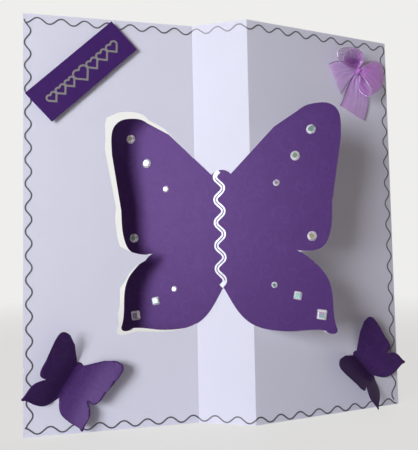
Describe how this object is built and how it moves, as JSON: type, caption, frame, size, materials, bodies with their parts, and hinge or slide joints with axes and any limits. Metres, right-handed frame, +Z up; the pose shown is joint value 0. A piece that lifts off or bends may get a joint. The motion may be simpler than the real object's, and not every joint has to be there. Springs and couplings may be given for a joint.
{
  "type": "folded butterfly greeting card",
  "caption": "Standing greeting card in a zigzag fold with a cut-out purple butterfly, stones, wavy silver lines, a tag, an organza bow and small paper butterflies.",
  "frame": {"origin": "on the standing surface, under the middle of the box round the whole card", "axes": "+X to the right along the middle strip, -Y out of the strip's front face towards the viewer, +Z up the card"},
  "size_m": [0.1828, 0.1102, 0.21],
  "materials": {
    "white_card": "matt",
    "purple_paper": "pearl, embossed",
    "violet_card": "satin",
    "silver_film": "mirror foil",
    "brushed_silver_film": "mirror foil",
    "crystal": "clear, foil backed",
    "foam": "matt",
    "organza": "sheer"
  },
  "bodies": {
    "root": {"body_silver_line": "silver_film", "bottom_edge_line": "silver_film", "butterfly_paper": "purple_paper", "card_sheet": "white_card", "left_edge_line": "silver_film", "left_inner_stone": "crystal", "left_lower_inner_stone": "crystal", "left_lower_middle_stone": "crystal", "left_side_stone": "crystal", "left_small_butterfly": "purple_paper", "left_tail_stone": "crystal", "left_tip_stone": "crystal", "left_upper_stone": "crystal", "organza_bow": "organza", "right_edge_line": "silver_film", "right_inner_stone": "crystal", "right_lower_inner_stone": "crystal", "right_lower_middle_stone": "crystal", "right_side_stone": "crystal", "right_small_butterfly": "purple_paper", "right_tail_stone": "crystal", "right_tip_stone": "crystal", "right_upper_stone": "crystal", "tag_heart_motif": "brushed_silver_film", "tag_left_foam_pad": "foam", "tag_plate": "violet_card", "tag_right_foam_pad": "foam", "top_edge_line": "silver_film"}
  },
  "joints": []
}
